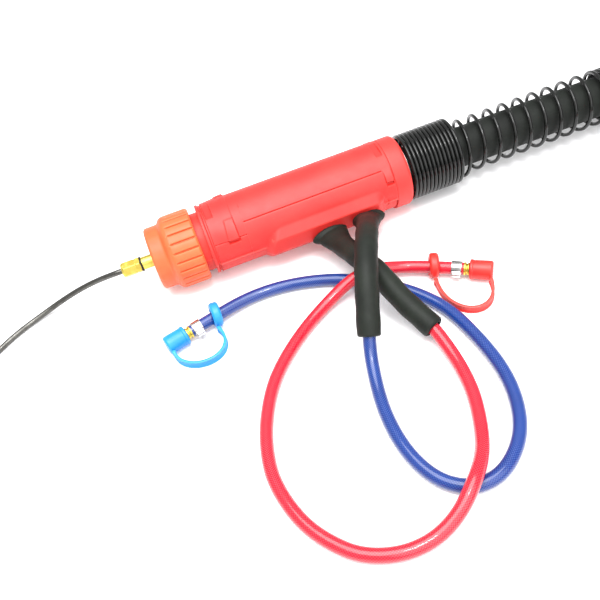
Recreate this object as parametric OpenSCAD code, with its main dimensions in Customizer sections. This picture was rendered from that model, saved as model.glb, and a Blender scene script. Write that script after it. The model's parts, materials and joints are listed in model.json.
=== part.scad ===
// Machine end, hose package and handpiece of a liquid-cooled welding torch.
// The plug axis is X: the plug faces -X, the cable leaves towards +X, and +Z is up.
// The origin is on the central pin, in the plane of the plug nut's open mouth.

/* [Plug] */
// Outer radius of the plug nut's ribbed ring
nut_r = 27.5; // [26:0.1:28]
// Outer radius of the plug nut's smooth front cup
cup_r = 23.3; // [22.6:0.1:24]
// Number of grip grooves round the plug nut
nut_grooves = 24; // [18:1:30]
// Radius of the central gas and current pin
pin_r = 6.0; // [5.9:0.05:6.1]
// Radius of the neck between the pin and the liner nut
pin_neck_r = 4.8; // [4.6:0.05:5]
// Distance across the corners of the liner nut's hexagon
liner_nut_across = 11.8; // [11.2:0.1:11.8]
// Travel of each sprung contact pin
contact_travel = 3; // [1:0.5:3]

/* [Housing] */
// Outer radius of the plug housing
housing_r = 26.8; // [26.6:0.1:27.2]
// Wall thickness of the plug housing
housing_wall = 2.6; // [2:0.1:2.8]
// Width of the parting gap between cover and tub
seam_gap = 0.3; // [0.2:0.05:0.5]

/* [Hoses and cable] */
// Outer radius of each coolant hose
hose_r = 4.4; // [4.2:0.1:4.5]
// Outer radius of the rubber boots over the hoses
boot_r = 7.9; // [7.5:0.1:8]
// Outer radius of the main cable's jacket
cable_r = 15.2; // [14.8:0.1:15.4]
// Outer radius of the wire liner
liner_r = 2.2; // [2.0:0.05:2.25]
// Radius of the coil at the middle of its turns
coil_r = 160; // [155:1:165]
// Wire radius of the cable support spring
spring_wire_r = 1.4; // [1.2:0.05:1.5]
// Open turns in the middle of the spring
spring_turns = 10; // [8:1:11]

/* [Handpiece] */
// Height of the handle across its two shells
handle_h = 38; // [37:0.5:40]
// Width of the handle
handle_w = 42; // [41:0.5:44]
// Bend angle of the swan neck
neck_angle = 50; // [40:1:55]

/* [Hidden] */
$fn = 96;
fine = 0.05;
floor_z = -nut_r;

// Plug stations along X
cup_len = 10.5;
nut_len = 34.5;
housing_x0 = 40;
housing_x1 = 182.6;
collar_x1 = 195.8;
liner_nut_x0 = -25.5;
liner_nut_x1 = -11;
insulator_x0 = 6.5;
contact_y = 9.5;
contact_z = -8;

// Heights at which the cover meets the tub, in the middle and at its two end bands
seam_high = 20;
seam_low = 12.8;
band_front = 68.8;
band_rear = 175.2;

// Spring stations and radii
tight_x1 = 239;
open_x1 = 362;
spring_x1 = 392;
tight_r = 25.3;
open_r = 21;
end_r = 20.4;
coil_pitch = 3.4;

// Coolant hose ends: where the hose stops and the heading of its coupling
blue_end = [7.2, -61.8, -20.1];
blue_heading = 195;
red_end = [199.5, -97.5, -20.1];
red_heading = -33;
cap_r = 6.8;
strap_ring_back = 21;
strap_ring_r = 8.9;

// Boot routes, from inside the housing wall to the open end
boot_red_route = [[126.5, -30, -8], [128.2, -39, -8], [130, -50.5, -6.5], [132.6, -65.5, -1.4],
    [136.6, -79.5, 0.3], [141, -92, -0.8], [144, -106, -5], [150, -121, -11], [157, -137, -16]];
boot_blue_route = [[155.5, -30, -6.5], [153.3, -38, -3], [147.8, -54, 7.3], [141.2, -71, 15.8],
    [134, -88, 17.8],
    [128, -102, 13.5], [123, -114, 6], [119, -123, -1.5], [116, -130, -8]];

// Hose routes beyond the boots
hose_red_free = [[159, -145, -19], [161, -158, -22.3], [161, -174, -23], [159, -191, -23], [154, -208,
    -23],
    [148, -223, -21.5], [141, -235, -16.5], [131, -247, -11.8], [119, -257, -16.5], [106, -263, -21.5],
    [93, -266, -23], [80, -266, -23], [68, -263, -23], [56, -257, -23], [47, -248, -23], [38, -236, -23],
    [32, -223, -23], [28, -208, -23], [26, -192, -23], [28, -176, -23], [32, -160, -23], [39, -143, -23],
    [48, -127, -23], [60, -113, -23], [73, -101, -23], [87, -90, -23], [103, -81, -21.5], [119, -75.5,
    -16.6],
    [134, -73, -12.6], [149, -73, -16.6], [163, -75.5, -20.5], [174, -81, -20.6], [184, -87.4, -20.3],
    [191.7, -92.4, -20.1], red_end];
hose_blue_free = [[113.5, -136, -13], [111, -144, -18], [108, -157, -22], [105, -174, -23], [104, -191,
    -23],
    [105, -207, -23], [108.5, -222, -23], [115, -235, -23], [124, -243, -23], [134, -247, -23],
    [147, -246, -23], [160, -238, -23], [172, -225, -23], [180, -206, -23], [184, -183, -23], [182,
    -155, -23],
    [176, -125, -23], [168, -109, -23], [156, -92, -23], [135, -73, -23], [117, -61.5, -23], [100,
    -54.5, -23],
    [83, -50, -23], [66, -48, -23], [48, -49.8, -22], [31, -55.4, -20.4], [18.8, -58.7, -20.1], blue_end];
hose_red_route = concat([[126, -15, -11.5]], boot_red_route, hose_red_free);
hose_blue_route = concat([[160, -15, -10.5]], boot_blue_route, hose_blue_free);

// Liner route, cable routes and strap routes
liner_route = [[-6, 0, 0], [-15, 0, 0], [-24, 0, 0], [-30, 0, 0], [-37, 2.2, -2], [-46, 7, -6.5], [-62,
    13, -14],
    [-80, 15, -21], [-97, 12, -25], [-114, 5, -25.5], [-131, -6, -25.5], [-146, -19, -25.5]];
cable_route = [[196.8, 0, 0], [240, 0, 0], [290, 0, 0], [340, 0, 0], [390, 0, 0], [430, 0, -3.5], [470,
    0, -8.5],
    [510, -1, -11.7], [550, -8, -12.3], [590, -17, -12.3], [620, -20, -12.3]];
lead_route = [[620, -355, 14.2], [585, -357, 14.2], [550, -363, 12.5], [515, -373, 6], [480, -383, -3],
    [455, -389, -8], [436, -390, -8.5]];
coil_centre = [620, -195, 0];
strap_blue_route = [[25.7, -65.2, -23], [28.6, -73, -24], [27.6, -81.4, -24.3], [21.6, -88.2, -24.3],
    [12.6, -90.6, -24.3], [3, -89, -24.3], [-5, -83.6, -23.6], [-8.2, -77.8, -22], [-8.2, -73.3, -20.6]];
strap_red_route = [[178.5, -95.5, -23], [177.5, -105, -24], [178, -114, -24.3], [181.5, -123, -24.3],
    [188, -130, -24.3], [197, -132, -24.3], [205, -128.5, -23.6], [209.6, -121, -22], [210.8, -114.3,
    -20.6]];

// Handpiece: its local +X runs from the cable to the nozzle, and it lies on its side
hand_pos = [430, -390, -8.5];
handle_len = 142;
neck_r = 10;
neck_end_r = 10.5;
neck_bend = 52;
neck_straight = 30;
front_len = 92;
trigger_pin = [112, 19, 0];

// ---- Shared shapes ----

// A solid of revolution about X from [radius, x] points
module turned(points) rotate([0, 90, 0]) rotate_extrude() polygon(points);

// A cylinder along X from x0 to x1
module rod(r, x0, x1) translate([x0, 0, 0]) rotate([0, 90, 0]) cylinder(r = r, h = x1 - x0);

// A tube along X from x0 to x1
module pipe(r_out, r_in, x0, x1) difference() {
    rod(r_out, x0, x1);
    rod(r_in, x0 - 1, x1 + 1);
}

// A smooth curve through the neighbourhood of the route's points, with n steps between points
function smooth(p, n) = [for (i = [0:len(p) - 2]) for (k = [0:n - 1])
    let (t = k / n,
        a = i == 0 ? 2 * p[0] - p[1] : p[i - 1],
        d = i == len(p) - 2 ? 2 * p[i + 1] - p[i] : p[i + 2])
    ((1 - t) ^ 3 * a + (3 * t ^ 3 - 6 * t ^ 2 + 4) * p[i]
        + (-3 * t ^ 3 + 3 * t ^ 2 + 3 * t + 1) * p[i + 1] + t ^ 3 * d) / 6,
    p[len(p) - 1]];

function unit(v) = v / norm(v);
function heading(c, i) = unit(c[min(i + 1, len(c) - 1)] - c[max(i - 1, 0)]);

// The corners of one cross-section: round if square is false, else a flat strap
function section_ring(c, i, w, h, sides, square) =
    let (t = heading(c, i), side = unit(cross(t, [0, 0, 1])), up = cross(side, t))
    [for (j = [0:sides - 1]) let (a = 360 * j / sides + (square ? 45 : 0), s = square ? sqrt(2) : 1)
        c[i] + s * (w * cos(a) * side + h * sin(a) * up)];

// A closed tube along the curve c, with half width w[i] and half height h[i] at each point
module sweep(c, w, h, sides, square = false) {
    rings = [for (i = [0:len(c) - 1]) each section_ring(c, i, w[i], h[i], sides, square)];
    walls = [for (i = [0:len(c) - 2]) for (j = [0:sides - 1])
        let (a = i * sides + j, b = i * sides + (j + 1) % sides)
        each [[a, b, a + sides], [b, b + sides, a + sides]]];
    ends = [[for (j = [sides - 1:-1:0]) j], [for (j = [0:sides - 1]) (len(c) - 1) * sides + j]];
    polyhedron(points = rings, faces = concat(walls, ends), convexity = 10);
}

// A cord of even radius along a route
module cord(route, r, sides, n = 1) {
    c = smooth(route, n);
    even = [for (p = c) r];
    sweep(c, even, even, sides);
}

// ---- Plug ----

module plug_nut() color([1.0, 0.45, 0.25]) difference() {
    turned([[20, 0], [cup_r - 1.6, 0], [cup_r - 0.5, 0.5], [cup_r, 1.8], [cup_r, cup_len - 1.5],
        [cup_r + 0.5, cup_len - 0.4], [cup_r + 1.4, cup_len], [nut_r - 1.4, cup_len],
        [nut_r, cup_len + 1.6],
        [nut_r, nut_len - 1.6], [nut_r - 1.4, nut_len], [22.7, nut_len], [22.7, 27], [17.35, 27],
        [17.35, 23], [20, 23], [20, 18], [21, 17], [21, 16], [20, 15], [20, 13.5], [21, 12.5], [21, 11.5],
        [20, 10.5], [20, 9], [21, 8], [21, 7], [20, 6], [20, 4.5], [21, 3.5], [21, 2.5], [20, 1.5]]);
    for (i = [0:nut_grooves - 1]) rotate([360 * (i + 0.5) / nut_grooves, 0, 0])
        translate([cup_len - 1, -0.55, nut_r - 1.0]) cube([nut_len - cup_len + 2, 1.1, 3]);
}

module plug_insulator() color([0.12, 0.12, 0.13]) difference() {
    rod(16.8, insulator_x0, 20);
    rod(pin_r + 0.1, 3, 21);
    for (s = [-1, 1]) translate([0, s * contact_y, contact_z]) {
        rod(1.68, 3, 21);
        rod(2.7, 10, 21);
    }
    translate([insulator_x0 - 1, -2, 13]) cube([5, 4, 5]);
}

module plug_block() color([0.8, 0.62, 0.3]) difference() {
    union() {
        rod(17, 20.1, 60);
        rod(19.5, 46.4, 56);
    }
    rod(pin_r + 0.1, 20, 24.2);
    rod(liner_r + 0.4, 20, 61);
    rotate([0, 90, 0]) translate([0, 0, 21.2]) rotate_extrude() translate([15.6, 0]) square([3, 1.4]);
}

module central_pin() color([0.85, 0.7, 0.35])
    turned([[liner_r + 0.4, -18], [3.2, -18], [3.2, -9.8], [pin_neck_r - 0.2, -9.8], [pin_neck_r, -9.6],
        [pin_neck_r, -1.5], [pin_r - 0.5, -1.5], [pin_r, -1], [pin_r, 4.6], [pin_r - 0.8, 4.6],
        [pin_r - 0.8, 6.2], [pin_r, 6.2], [pin_r, 24.1], [liner_r + 0.4, 24.1]]);

module pin_oring() color([0.08, 0.08, 0.08])
    rotate([0, 90, 0]) translate([0, 0, 5.4]) rotate_extrude() translate([pin_r, 0]) circle(r = 0.7,
        $fn = 32);

module liner_seal() color([0.08, 0.08, 0.08]) pipe(5.6, 3.25, -10.9, -9.9);

module liner_nut() color([0.9, 0.78, 0.35]) difference() {
    intersection() {
        translate([liner_nut_x0, 0, 0]) rotate([0, 90, 0]) rotate([0, 0, 8])
            cylinder(r = liner_nut_across / 2, h = liner_nut_x1 - liner_nut_x0, $fn = 6);
        turned([[0, liner_nut_x0], [4.5, liner_nut_x0], [liner_nut_across / 2 + 0.1, liner_nut_x0 + 1.6],
            [liner_nut_across / 2 + 0.1, liner_nut_x1 - 0.5], [5.3, liner_nut_x1], [0, liner_nut_x1]]);
    }
    rod(liner_r + 0.4, liner_nut_x0 - 1, liner_nut_x1 + 1);
    rod(3.27, -18.3, liner_nut_x1 + 1);
}

module wire_liner() color([0.3, 0.3, 0.3]) cord(liner_route, liner_r, 8);

module contact_pin(s) color([0.86, 0.7, 0.36]) translate([0, s * contact_y, contact_z])
    turned([[0, 0.4], [0.9, 0.4], [1.6, 1.3], [1.6, 14], [2.3, 14], [2.3, 15.5], [0, 15.5]]);
module contact_pin_near() contact_pin(-1);
module contact_pin_far() contact_pin(1);

module nut_circlip() color([0.6, 0.6, 0.62]) difference() {
    pipe(19.2, 15.7, 21.3, 22.5);
    translate([20, -3, 14]) cube([4, 6, 8]);
}

module plug_collar() color([0.75, 0.12, 0.08])
    turned([[17.1, 27.5], [21.4, 27.5], [22, 28.1], [22, 46.3], [23.9, 46.3], [23.9, 51], [19.6, 51],
        [19.6, 46.3], [17.1, 46.3]]);

// ---- Housing ----

// The housing's outer skin of revolution, hollowed to its wall
module housing_skin() turned([[22.2, housing_x0], [housing_r - 0.8, housing_x0],
    [housing_r, housing_x0 + 0.8], [housing_r, 42.4], [housing_r - 0.9, 42.7], [housing_r - 0.9, 43.5],
    [housing_r, 43.8], [housing_r, housing_x1], [housing_r - housing_wall, housing_x1],
    [housing_r - housing_wall, 46], [22.2, 46]]);

// The space above the parting line, raised by the given gap
module above_seam(gap) {
    translate([43.8 + gap, -40, seam_high + gap]) cube([housing_x1 - 43.8 - 2 * gap, 80, 40]);
    for (x = [[43.8 + gap, band_front - gap], [band_rear + gap, housing_x1 - gap]])
        translate([x[0], -40, seam_low + gap]) cube([x[1] - x[0], 80, 40]);
}

// A side hook of the cover: it stands proud most at its lower edge
module cover_hook(x0, x1, s) intersection() {
    difference() {
        rotate([-s * 28, 0, 0]) translate([0, -s * 1.9, 0]) rod(housing_r - 0.3, x0, x1);
        rod(housing_r - 1, x0 - 1, x1 + 1);
    }
    translate([x0 - 1, s > 0 ? -40 : 10, seam_low + 0.3]) cube([x1 - x0 + 2, 30, 11]);
}

module housing_cover() color([1.0, 0.33, 0.28]) difference() {
    union() {
        intersection() {
            housing_skin();
            above_seam(seam_gap / 2);
        }
        for (s = [-1, 1]) {
            cover_hook(54.5, 63, s);
            cover_hook(176, 181.6, s);
        }
    }
    for (x = [44.6, 175.4]) translate([x, -7.8, housing_r - 1.6]) cube([5.2, 15.6, 3]);
}

// The side fairing that carries the two hose boots
module fairing() intersection() {
    translate([80, 0, 0]) rotate([90, 0, 90]) linear_extrude(96)
        polygon([[-24.9, 9.6], [-30.9, 3.2], [-30.2, -9.3], [-22, -18.5], [-12, -18.5], [-12, 9.6]]);
    translate([0, 0, -30]) linear_extrude(60)
        polygon([[80, -10], [80, -23], [82, -26], [85, -28.5], [90, -31], [163, -31], [168, -29.5],
            [171.5, -27], [174, -23], [174, -10]]);
}

module housing_tub() color([0.95, 0.24, 0.2]) difference() {
    union() {
        housing_skin();
        fairing();
    }
    above_seam(-seam_gap / 2);
    rod(housing_r - housing_wall, 46, housing_x1 + 1);
    for (p = [[126.4, -9], [156.8, -8]]) translate([p[0], -16, p[1]]) rotate([90, 0, 0])
        cylinder(r = hose_r + 2.6, h = 18);
    for (s = [-1, 1]) for (x = [[54.5, 63], [176, 181.6]])
        translate([x[0], s > 0 ? housing_r - 5 : -housing_r - 1, seam_low - 2.2]) cube([x[1] - x[0], 6,
            2]);
    for (x = [54, 152]) translate([x, 0, -housing_r - 1]) {
        cylinder(r = 3.2, h = 2.2);
        cylinder(r = 1.7, h = 8);
    }
}

module housing_screws() color([0.7, 0.7, 0.72]) for (x = [54, 152]) translate([x, 0, -housing_r - 0.2])
    difference() {
        union() {
            translate([0, 0, 0.4]) cylinder(r = 2.9, h = 0.9);
            translate([0, 0, 1]) cylinder(r = 1.6, h = 3.4);
        }
        cylinder(r = 1.1, h = 1, $fn = 6);
    }

module rear_collar() color([0.97, 0.28, 0.23])
    turned([[21, housing_x1 + 0.2], [housing_r, housing_x1 + 0.2], [housing_r, collar_x1 - 3],
        [housing_r - 0.5, collar_x1 - 1.2], [housing_r - 1.4, collar_x1], [21, collar_x1]]);

// ---- Inside the housing ----

module core_cable() color([0.15, 0.15, 0.16]) difference() {
    rod(6.5, 60.1, 196);
    rod(liner_r + 0.4, 60, 197);
}

module gas_tube() color([0.2, 0.2, 0.22]) translate([0, 11, 1]) rod(3, 60.1, 190);

module control_lead() color([0.1, 0.1, 0.1]) translate([0, 6, 10.5]) rod(2.2, 60.1, 190);

module coolant_block() color([0.8, 0.62, 0.3]) {
    translate([118, -12, -16]) cube([50, 8, 8.9]);
    for (p = [[126, -11.5], [160, -10.5]]) translate([p[0], -11.9, p[1]]) rotate([90, 0, 0])
        cylinder(r = 3, h = 3.1 - fine);
}

module cable_clamp() color([0.62, 0.62, 0.64]) pipe(20.9, cable_r + fine, 186, 197);

// ---- Cable ----

module spring_coils(x0, x1, r) {
    n = round((x1 - x0) / coil_pitch);
    pitch = (x1 - x0) / n;
    turned(concat([[r - 2 * spring_wire_r, x0]],
        [for (i = [0:n - 1]) each [[r - 0.7, x0 + i * pitch], [r - 0.1, x0 + (i + 0.3) * pitch],
            [r, x0 + (i + 0.5) * pitch], [r - 0.1, x0 + (i + 0.7) * pitch]]],
        [[r - 0.7, x1], [r - 2 * spring_wire_r, x1]]));
}

module cable_spring() color([0.07, 0.07, 0.08]) {
    steps = 16;
    wind = [for (i = [0:spring_turns * steps]) let (u = i / (spring_turns * steps),
        r = (u < 0.05 ? tight_r + (open_r - tight_r) * u * 20 : open_r) - spring_wire_r)
        [tight_x1 - 1.6 + u * (open_x1 - tight_x1 + 3.2), r * cos(-360 * i / steps),
        r * sin(-360 * i / steps)]];
    wire = [for (p = wind) spring_wire_r];
    spring_coils(collar_x1, tight_x1, tight_r);
    sweep(wind, wire, wire, 6);
    spring_coils(open_x1, spring_x1, end_r);
}

module cable_jacket() color([0.1, 0.11, 0.1]) cord(cable_route, cable_r, 12);

module cable_coil() color([0.1, 0.11, 0.1]) translate(coil_centre) rotate_extrude() polygon([
    [coil_r - 30.4, -22], [coil_r - 25, floor_z + 0.4], [coil_r + 25, floor_z + 0.4], [coil_r + 30.4,
    -22],
    [coil_r + 30.4, -4], [coil_r + 15.6, 22], [coil_r + 7, 29.6], [coil_r - 7, 29.6], [coil_r - 15.6, 22],
    [coil_r - 30.4, -4]]);

module coil_ties() color([0.05, 0.05, 0.06]) for (a = [60, 180, 300])
    translate(coil_centre) rotate([0, 0, a]) translate([coil_r, 9, 0]) rotate([90, 0, 0])
    linear_extrude(18) difference() {
        polygon([[-32, -23], [-26.5, floor_z], [26.5, floor_z], [32, -23], [32, -3], [16.6, 23.5],
            [8, 31], [-8, 31], [-16.6, 23.5], [-32, -3]]);
        polygon([[-30.5, -22], [-25, floor_z + 0.35], [25, floor_z + 0.35], [30.5, -22], [30.5, -4],
            [15.7, 22],
            [7, 29.7], [-7, 29.7], [-15.7, 22], [-30.5, -4]]);
    }

module cable_lead() color([0.1, 0.11, 0.1]) cord(lead_route, cable_r, 12);

// ---- Coolant hoses ----

// A hollow rubber boot: an oval trumpet at the housing that narrows to a sleeve
module boot(route) {
    c = smooth(route, 2);
    flare = [for (i = [0:len(c) - 1]) max(0, 1 - i / 3) ^ 1.6];
    near_end = [for (i = [0:len(c) - 1]) i == len(c) - 1 ? 0.9 : 0];
    difference() {
        sweep(c, [for (i = [0:len(c) - 1]) boot_r + 4.4 * flare[i] - near_end[i]],
            [for (i = [0:len(c) - 1]) boot_r - 1.2 * flare[i] - near_end[i]], 20);
        cord(concat([2 * route[0] - route[1]], route,
            [2 * route[len(route) - 1] - route[len(route) - 2]]),
            hose_r + 0.9, 12, 2);
    }
}

module boot_red() color([0.16, 0.17, 0.16]) boot(boot_red_route);
module boot_blue() color([0.16, 0.17, 0.16]) boot(boot_blue_route);
module hose_red() color([0.9, 0.1, 0.25]) cord(hose_red_route, hose_r, 8);
module hose_blue() color([0.05, 0.25, 0.75]) cord(hose_blue_route, hose_r, 8);

// Places a coupling piece so that its local +X leaves the hose's end
module at_end(end, angle) translate(end) rotate([0, 0, angle]) children();

module ear_clamp(side) {
    pipe(hose_r + 1, hose_r + fine, -8.5, -1.5);
    translate([-8, side > 0 ? hose_r + 0.8 : -hose_r - 3.6, -2]) cube([6, 2.8, 4]);
}
module clamp_red() color([0.8, 0.8, 0.82]) at_end(red_end, red_heading) ear_clamp(-1);
module clamp_blue() color([0.8, 0.8, 0.82]) at_end(blue_end, blue_heading) ear_clamp(1);

module coupling() turned([[1.6, 0.05], [4.6, 0.05], [4.6, 1.2], [3.8, 1.6], [3.8, 2.2], [4.5, 2.6],
    [4.5, 3.4], [3.9, 3.8], [3.9, 9], [3.2, 9.6], [3.2, 11.2], [3.9, 11.8], [3.9, 15], [3.2, 16.2],
    [1.6, 16.2]]);
module coupling_red() color([0.85, 0.72, 0.4]) at_end(red_end, red_heading) coupling();
module coupling_blue() color([0.85, 0.72, 0.4]) at_end(blue_end, blue_heading) coupling();

module cap() turned([[4.9, 4.2], [cap_r - 0.4, 4.2], [cap_r, 4.8], [cap_r, 17.8], [cap_r - 0.9, 18.7],
    [0, 18.7], [0, 16.8], [4.9, 16.8]]);
module cap_red() color([0.95, 0.22, 0.15]) at_end(red_end, red_heading) cap();
module cap_blue() color([0.15, 0.6, 0.95]) at_end(blue_end, blue_heading) cap();

// A strap: a loose ring round the hose and a flat band that runs to the cap
module strap(end, angle, tilt, route) {
    at_end(end, angle) translate([-strap_ring_back, 0, floor_z + strap_ring_r + 0.1 - end[2]])
        rotate([0, 0, tilt]) pipe(strap_ring_r, strap_ring_r - 2.5, -2.2, 2.2);
    c = smooth(route, 1);
    sweep(c, [for (p = c) 0.7], [for (p = c) 3.1], 4, true);
}
module strap_red() color([0.95, 0.22, 0.15]) strap(red_end, red_heading, 12, strap_red_route);
module strap_blue() color([0.15, 0.6, 0.95]) strap(blue_end, blue_heading, -12, strap_blue_route);

// ---- Handpiece ----

module hand() translate(hand_pos) rotate([0, 0, 180]) children();

// The neck's end: the frame whose +X runs down the nozzle
module neck_end() hand() translate([handle_len + neck_straight, 0, 0]) translate([0, neck_bend, 0])
    rotate([0, 0, neck_angle]) translate([0, -neck_bend, 0]) children();

module handle_body() intersection() {
    rod(25, 0, handle_len);
    translate([0, -handle_w / 2, -handle_h / 2]) cube([handle_len, handle_w, handle_h]);
    rotate([45, 0, 0]) translate([0, -24.6, -24.6]) cube([handle_len, 49.2, 49.2]);
}

module handle_shell() difference() {
    handle_body();
    rod(cable_r + 0.5, 12, handle_len - 12);
    rod(17, -1, 12.1);
    rod(neck_end_r + fine, handle_len - 13, handle_len + 1);
    translate([58, 8, -6.4]) cube([62, 20, 12.8]);
    translate(trigger_pin + [0, 0, -8.6]) cylinder(r = 1.55, h = 17.2);
    for (x = [20, 130]) translate([x, -17, 0]) {
        translate([0, 0, handle_h / 2 - 2]) cylinder(r = 3, h = 4);
        translate([0, 0, -handle_h / 2 - 1]) cylinder(r = 1.6, h = handle_h);
    }
}
module handle_upper() color([0.93, 0.22, 0.18]) hand() intersection() {
    handle_shell();
    translate([-5, -40, 0.05]) cube([160, 80, 40]);
}
module handle_lower() color([0.93, 0.22, 0.18]) hand() intersection() {
    handle_shell();
    translate([-5, -40, -40.05]) cube([160, 80, 40]);
}

module handle_screws() color([0.7, 0.7, 0.72]) hand() for (x = [20, 130]) translate([x, -17, 0])
    difference() {
        union() {
            translate([0, 0, handle_h / 2 - 1.9]) cylinder(r = 2.8, h = 1.5);
            translate([0, 0, -10]) cylinder(r = 1.5, h = handle_h / 2 + 9);
        }
        translate([0, 0, handle_h / 2 - 1.2]) cylinder(r = 1.2, h = 2, $fn = 6);
    }

module handle_sleeve() color([0.12, 0.12, 0.12]) hand()
    turned([[cable_r + fine, -38], [cable_r + 1.2, -38], [cable_r + 1.6, -37], [16.9, -8], [18.6, -3],
        [18.6, -fine], [16.9, -fine], [16.9, 12], [cable_r + fine, 12]]);

module trigger() color([0.1, 0.1, 0.11]) hand() difference() {
    translate([0, 0, -5.9]) linear_extrude(11.8)
        polygon([[60, 16.6], [63, 22.4], [72, 24.5], [86, 23.4], [98, 23.6], [108, 24.3], [114, 22.6],
            [117.5, 20.6], [117.5, 16.6], [110, 15.6], [80, 15.6]]);
    translate(trigger_pin + [0, 0, -7]) cylinder(r = 1.57, h = 14);
}

module trigger_switch() color([0.2, 0.2, 0.22]) hand() {
    translate([66, 8.6, -5]) cube([18, 5.6, 10]);
    translate(trigger_pin + [0, 0, -8.5]) cylinder(r = 1.5, h = 17);
}

module swan_neck() color([0.12, 0.12, 0.13]) {
    hand() rod(neck_end_r, handle_len - 12.5, handle_len + neck_straight + 2);
    hand() translate([handle_len + neck_straight, neck_bend, 0]) rotate([0, 0, -90])
        rotate_extrude(angle = neck_angle) translate([neck_bend, 0]) circle(r = neck_r);
    neck_end() rod(neck_end_r, -2, 22);
}

module neck_nut() color([0.83, 0.66, 0.34]) neck_end() pipe(12.6, neck_end_r + fine, 14, 24);

module neck_insulator() color([0.9, 0.88, 0.82]) neck_end() pipe(11.4, 6.6, 24.1, 32);

module tip_holder() color([0.85, 0.68, 0.36]) neck_end() difference() {
    union() {
        rod(6.5, 22.1, 40);
        rod(8.6, 32.1, 44);
        rod(7.4, 44, 54);
    }
    rod(2.4, 20, 60);
    rod(4.07, 46, 60);
    for (a = [0:60:300]) rotate([a, 0, 0]) translate([41, 0, 2]) cylinder(r = 1, h = 10);
}

module contact_tip() color([0.8, 0.45, 0.28]) neck_end()
    turned([[0.65, 46.4], [4, 46.4], [4, 54.4], [5, 54.4], [5, 72], [3.2, 78], [0.65, 78]]);

module gas_nozzle() color([0.8, 0.8, 0.82]) neck_end()
    turned([[11.9, 24.6], [14, 24.6], [14.6, 25.2], [14.6, 40], [13.6, 43], [13.6, 62], [11.6,
        front_len - 8],
        [11.2, front_len], [8.6, front_len], [9.2, front_len - 8], [10.8, 62], [10.8, 44], [11.9, 41]]);

plug_nut();
plug_insulator();
plug_block();
central_pin();
pin_oring();
liner_seal();
liner_nut();
wire_liner();
contact_pin_near();
contact_pin_far();
nut_circlip();
plug_collar();
housing_cover();
housing_tub();
housing_screws();
rear_collar();
core_cable();
gas_tube();
control_lead();
coolant_block();
cable_clamp();
cable_spring();
cable_jacket();
cable_coil();
coil_ties();
cable_lead();
boot_red();
boot_blue();
hose_red();
hose_blue();
clamp_red();
clamp_blue();
coupling_red();
coupling_blue();
cap_red();
cap_blue();
strap_red();
strap_blue();
handle_sleeve();
handle_upper();
handle_lower();
handle_screws();
trigger();
trigger_switch();
swan_neck();
neck_nut();
neck_insulator();
tip_holder();
contact_tip();
gas_nozzle();
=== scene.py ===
import json
import math
import bmesh
import bpy
from mathutils import Matrix, Vector


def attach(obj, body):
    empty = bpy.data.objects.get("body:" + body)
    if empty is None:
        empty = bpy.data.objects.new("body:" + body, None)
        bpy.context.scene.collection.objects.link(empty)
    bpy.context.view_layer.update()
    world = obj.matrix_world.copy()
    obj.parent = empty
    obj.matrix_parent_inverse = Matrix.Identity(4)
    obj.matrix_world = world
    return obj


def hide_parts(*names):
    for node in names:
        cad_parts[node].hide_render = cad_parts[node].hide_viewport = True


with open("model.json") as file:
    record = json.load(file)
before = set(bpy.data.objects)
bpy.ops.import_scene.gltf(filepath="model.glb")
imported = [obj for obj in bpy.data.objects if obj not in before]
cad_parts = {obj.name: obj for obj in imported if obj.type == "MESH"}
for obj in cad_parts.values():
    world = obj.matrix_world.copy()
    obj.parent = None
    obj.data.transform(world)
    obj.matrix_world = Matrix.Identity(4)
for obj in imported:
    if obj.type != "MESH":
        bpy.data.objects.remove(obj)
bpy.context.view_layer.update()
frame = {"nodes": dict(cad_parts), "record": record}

# Lengths below are in millimetres, in the CAD model's frame, and angles are in degrees.
MM = 0.001
FLOOR_Z = -27.5

# The camera: the photograph's place, pitch and roll
CAMERA_AT = (37.0, -432.5, 385.6)
CAMERA_PITCH = 48.0
CAMERA_YAW = 7.77
CAMERA_ROLL = -15.0
CAMERA_LENS = 46.5


# ---- Curves ----

def vec(p):
    return Vector(p)


def smooth_route(points, n):
    """The uniform cubic B-spline that the CAD cords follow, with n steps between points."""
    p = [vec(q) for q in points]
    p = [2 * p[0] - p[1]] + p + [2 * p[-1] - p[-2]]
    line = []
    for i in range(1, len(p) - 2):
        for k in range(n):
            t = k / n
            line.append(((1 - t) ** 3 * p[i - 1] + (3 * t ** 3 - 6 * t ** 2 + 4) * p[i]
                         + (-3 * t ** 3 + 3 * t ** 2 + 3 * t + 1) * p[i + 1] + t ** 3 * p[i + 2]) / 6)
    return line + [p[-2]]


def length_of(line):
    return sum((b - a).length for a, b in zip(line, line[1:]))


def even_line(line, step):
    """The same line with points an even step apart."""
    total = length_of(line)
    count = max(2, round(total / step))
    marks = [total * i / count for i in range(count + 1)]
    out, run, j = [], 0.0, 0
    for a, b in zip(line, line[1:]):
        seg = (b - a).length
        while j < len(marks) and marks[j] <= run + seg + 1e-9:
            out.append(a.lerp(b, (marks[j] - run) / seg if seg else 0.0))
            j += 1
        run += seg
    while len(out) < count + 1:
        out.append(line[-1].copy())
    return out


def frames_along(line, up=(0, 0, 1)):
    """Tangent, side and up at each point: up stays as close to the given direction as it can."""
    out = []
    for i in range(len(line)):
        t = (line[min(i + 1, len(line) - 1)] - line[max(i - 1, 0)]).normalized()
        side = t.cross(vec(up)).normalized()
        out.append((t, side, side.cross(t).normalized()))
    return out


def carried_frames(line):
    """Frames carried along the line without twist."""
    t = (line[1] - line[0]).normalized()
    side = t.cross(vec((0, 0, 1)))
    side = side.normalized() if side.length > 1e-3 else vec((0, 1, 0))
    out = []
    for i in range(len(line)):
        t = (line[min(i + 1, len(line) - 1)] - line[max(i - 1, 0)]).normalized()
        side = (side - t * side.dot(t)).normalized()
        out.append((t, side, side.cross(t)))
    return out


def step(a, b, v):
    t = min(max((v - a) / (b - a), 0.0), 1.0)
    return t * t * (3 - 2 * t)


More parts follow.
